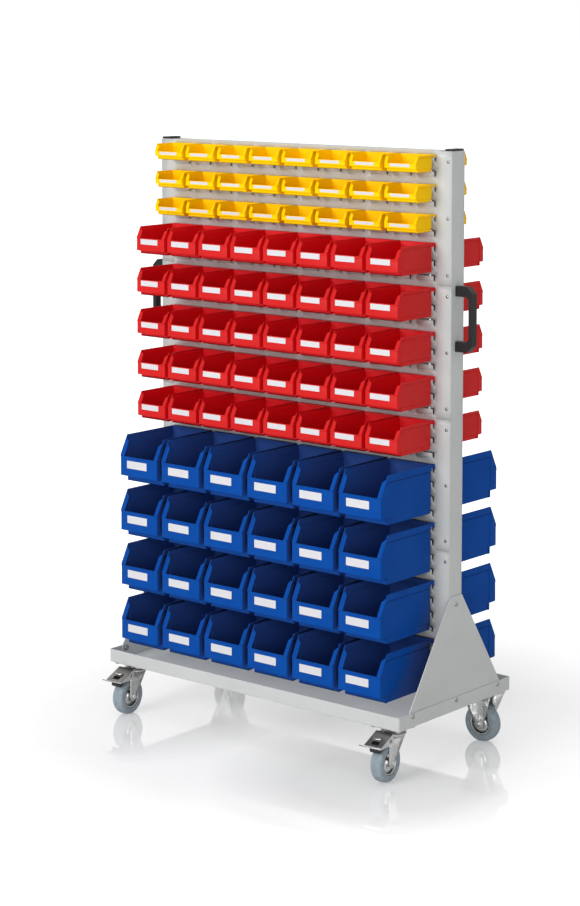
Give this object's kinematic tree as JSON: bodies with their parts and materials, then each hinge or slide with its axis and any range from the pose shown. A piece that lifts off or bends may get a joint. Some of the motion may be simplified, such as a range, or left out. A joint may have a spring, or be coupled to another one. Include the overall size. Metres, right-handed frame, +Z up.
{
  "type": "mobile bin cart",
  "caption": "Double sided louvred bin cart on casters, with rows of yellow, red and blue picking bins hung on both faces of a light grey steel frame.",
  "frame": {"origin": "on the floor, below the centre of the part's outline seen from above", "axes": "+Z up, +X along the long side towards the right end of the picture, -Y towards the side with the braked casters"},
  "size_m": [1.1036, 0.552, 1.5896],
  "materials": {
    "grey_paint": "semi-gloss powder coat",
    "black_plastic": "matt",
    "zinc_steel": "bright zinc plate",
    "grey_rubber": "matt",
    "yellow_plastic": "satin",
    "red_plastic": "satin",
    "blue_plastic": "satin"
  },
  "bodies": {
    "frame": {"base_tray": "grey_paint", "post_left": "grey_paint", "post_right": "grey_paint", "gusset_left": "grey_paint", "gusset_right": "grey_paint", "panel_front_1": "grey_paint", "panel_front_2": "grey_paint", "panel_front_3": "grey_paint", "panel_front_4": "grey_paint", "panel_back_1": "grey_paint", "panel_back_2": "grey_paint", "panel_back_3": "grey_paint", "panel_back_4": "grey_paint", "cap_left": "black_plastic", "cap_right": "black_plastic", "handle_left": "black_plastic", "handle_right": "black_plastic", "caster_plate_front_left": "zinc_steel", "caster_plate_front_right": "zinc_steel", "bracket_back_left": "zinc_steel", "bracket_back_right": "zinc_steel"},
    "swivel_front_left": {"fork_front_left": "zinc_steel"},
    "wheel_front_left": {"rim_front_left": "zinc_steel", "tyre_front_left": "grey_rubber"},
    "brake_front_left": {"pedal_front_left": "zinc_steel"},
    "wheel_back_left": {"rim_back_left": "zinc_steel", "tyre_back_left": "grey_rubber"},
    "swivel_front_right": {"fork_front_right": "zinc_steel"},
    "wheel_front_right": {"rim_front_right": "zinc_steel", "tyre_front_right": "grey_rubber"},
    "brake_front_right": {"pedal_front_right": "zinc_steel"},
    "wheel_back_right": {"rim_back_right": "zinc_steel", "tyre_back_right": "grey_rubber"},
    "row_front_yellow_1": {"bins_front_yellow_1": "yellow_plastic"},
    "row_front_yellow_2": {"bins_front_yellow_2": "yellow_plastic"},
    "row_front_yellow_3": {"bins_front_yellow_3": "yellow_plastic"},
    "row_front_red_1": {"bins_front_red_1": "red_plastic"},
    "row_front_red_2": {"bins_front_red_2": "red_plastic"},
    "row_front_red_3": {"bins_front_red_3": "red_plastic"},
    "row_front_red_4": {"bins_front_red_4": "red_plastic"},
    "row_front_red_5": {"bins_front_red_5": "red_plastic"},
    "row_front_blue_1": {"bins_front_blue_1": "blue_plastic"},
    "row_front_blue_2": {"bins_front_blue_2": "blue_plastic"},
    "row_front_blue_3": {"bins_front_blue_3": "blue_plastic"},
    "row_front_blue_4": {"bins_front_blue_4": "blue_plastic"},
    "row_back_yellow_1": {"bins_back_yellow_1": "yellow_plastic"},
    "row_back_yellow_2": {"bins_back_yellow_2": "yellow_plastic"},
    "row_back_yellow_3": {"bins_back_yellow_3": "yellow_plastic"},
    "row_back_red_1": {"bins_back_red_1": "red_plastic"},
    "row_back_red_2": {"bins_back_red_2": "red_plastic"},
    "row_back_red_3": {"bins_back_red_3": "red_plastic"},
    "row_back_red_4": {"bins_back_red_4": "red_plastic"},
    "row_back_red_5": {"bins_back_red_5": "red_plastic"},
    "row_back_blue_1": {"bins_back_blue_1": "blue_plastic"},
    "row_back_blue_2": {"bins_back_blue_2": "blue_plastic"},
    "row_back_blue_3": {"bins_back_blue_3": "blue_plastic"},
    "row_back_blue_4": {"bins_back_blue_4": "blue_plastic"}
  },
  "joints": [
    {"name": "swivel_turn_front_left", "type": "hinge", "parent": "frame", "child": "swivel_front_left", "pos_m": [-0.45, -0.17506, 0.12], "axis": [0, 0, 1], "continuous": true},
    {"name": "wheel_spin_front_left", "type": "hinge", "parent": "swivel_front_left", "child": "wheel_front_left", "pos_m": [-0.44655, -0.21089, 0.05], "axis": [0.9954, 0.0958, 0], "continuous": true},
    {"name": "brake_press_front_left", "type": "hinge", "parent": "swivel_front_left", "child": "brake_front_left", "pos_m": [-0.44511, -0.22582, 0.1], "axis": [0.9954, 0.0958, 0], "range_deg": [0, 12]},
    {"name": "wheel_spin_back_left", "type": "hinge", "parent": "frame", "child": "wheel_back_left", "pos_m": [-0.45, 0.22094, 0.05], "axis": [0, 1, 0], "continuous": true},
    {"name": "swivel_turn_front_right", "type": "hinge", "parent": "frame", "child": "swivel_front_right", "pos_m": [0.45, -0.17506, 0.12], "axis": [0, 0, 1], "continuous": true},
    {"name": "wheel_spin_front_right", "type": "hinge", "parent": "swivel_front_right", "child": "wheel_front_right", "pos_m": [0.45345, -0.21089, 0.05], "axis": [0.9954, 0.0958, 0], "continuous": true},
    {"name": "brake_press_front_right", "type": "hinge", "parent": "swivel_front_right", "child": "brake_front_right", "pos_m": [0.45489, -0.22582, 0.1], "axis": [0.9954, 0.0958, 0], "range_deg": [0, 12]},
    {"name": "wheel_spin_back_right", "type": "hinge", "parent": "frame", "child": "wheel_back_right", "pos_m": [0.45, 0.22094, 0.05], "axis": [0, 1, 0], "continuous": true},
    {"name": "lift_front_yellow_1", "type": "slide", "parent": "frame", "child": "row_front_yellow_1", "axis": [0, 0, 1], "range_m": [0, 0.008]},
    {"name": "lift_front_yellow_2", "type": "slide", "parent": "frame", "child": "row_front_yellow_2", "axis": [0, 0, 1], "range_m": [0, 0.008]},
    {"name": "lift_front_yellow_3", "type": "slide", "parent": "frame", "child": "row_front_yellow_3", "axis": [0, 0, 1], "range_m": [0, 0.008]},
    {"name": "lift_front_red_1", "type": "slide", "parent": "frame", "child": "row_front_red_1", "axis": [0, 0, 1], "range_m": [0, 0.008]},
    {"name": "lift_front_red_2", "type": "slide", "parent": "frame", "child": "row_front_red_2", "axis": [0, 0, 1], "range_m": [0, 0.008]},
    {"name": "lift_front_red_3", "type": "slide", "parent": "frame", "child": "row_front_red_3", "axis": [0, 0, 1], "range_m": [0, 0.008]},
    {"name": "lift_front_red_4", "type": "slide", "parent": "frame", "child": "row_front_red_4", "axis": [0, 0, 1], "range_m": [0, 0.008]},
    {"name": "lift_front_red_5", "type": "slide", "parent": "frame", "child": "row_front_red_5", "axis": [0, 0, 1], "range_m": [0, 0.008]},
    {"name": "lift_front_blue_1", "type": "slide", "parent": "frame", "child": "row_front_blue_1", "axis": [0, 0, 1], "range_m": [0, 0.008]},
    {"name": "lift_front_blue_2", "type": "slide", "parent": "frame", "child": "row_front_blue_2", "axis": [0, 0, 1], "range_m": [0, 0.008]},
    {"name": "lift_front_blue_3", "type": "slide", "parent": "frame", "child": "row_front_blue_3", "axis": [0, 0, 1], "range_m": [0, 0.008]},
    {"name": "lift_front_blue_4", "type": "slide", "parent": "frame", "child": "row_front_blue_4", "axis": [0, 0, 1], "range_m": [0, 0.008]},
    {"name": "lift_back_yellow_1", "type": "slide", "parent": "frame", "child": "row_back_yellow_1", "axis": [0, 0, 1], "range_m": [0, 0.008]},
    {"name": "lift_back_yellow_2", "type": "slide", "parent": "frame", "child": "row_back_yellow_2", "axis": [0, 0, 1], "range_m": [0, 0.008]},
    {"name": "lift_back_yellow_3", "type": "slide", "parent": "frame", "child": "row_back_yellow_3", "axis": [0, 0, 1], "range_m": [0, 0.008]},
    {"name": "lift_back_red_1", "type": "slide", "parent": "frame", "child": "row_back_red_1", "axis": [0, 0, 1], "range_m": [0, 0.008]},
    {"name": "lift_back_red_2", "type": "slide", "parent": "frame", "child": "row_back_red_2", "axis": [0, 0, 1], "range_m": [0, 0.008]},
    {"name": "lift_back_red_3", "type": "slide", "parent": "frame", "child": "row_back_red_3", "axis": [0, 0, 1], "range_m": [0, 0.008]},
    {"name": "lift_back_red_4", "type": "slide", "parent": "frame", "child": "row_back_red_4", "axis": [0, 0, 1], "range_m": [0, 0.008]},
    {"name": "lift_back_red_5", "type": "slide", "parent": "frame", "child": "row_back_red_5", "axis": [0, 0, 1], "range_m": [0, 0.008]},
    {"name": "lift_back_blue_1", "type": "slide", "parent": "frame", "child": "row_back_blue_1", "axis": [0, 0, 1], "range_m": [0, 0.008]},
    {"name": "lift_back_blue_2", "type": "slide", "parent": "frame", "child": "row_back_blue_2", "axis": [0, 0, 1], "range_m": [0, 0.008]},
    {"name": "lift_back_blue_3", "type": "slide", "parent": "frame", "child": "row_back_blue_3", "axis": [0, 0, 1], "range_m": [0, 0.008]},
    {"name": "lift_back_blue_4", "type": "slide", "parent": "frame", "child": "row_back_blue_4", "axis": [0, 0, 1], "range_m": [0, 0.008]}
  ]
}
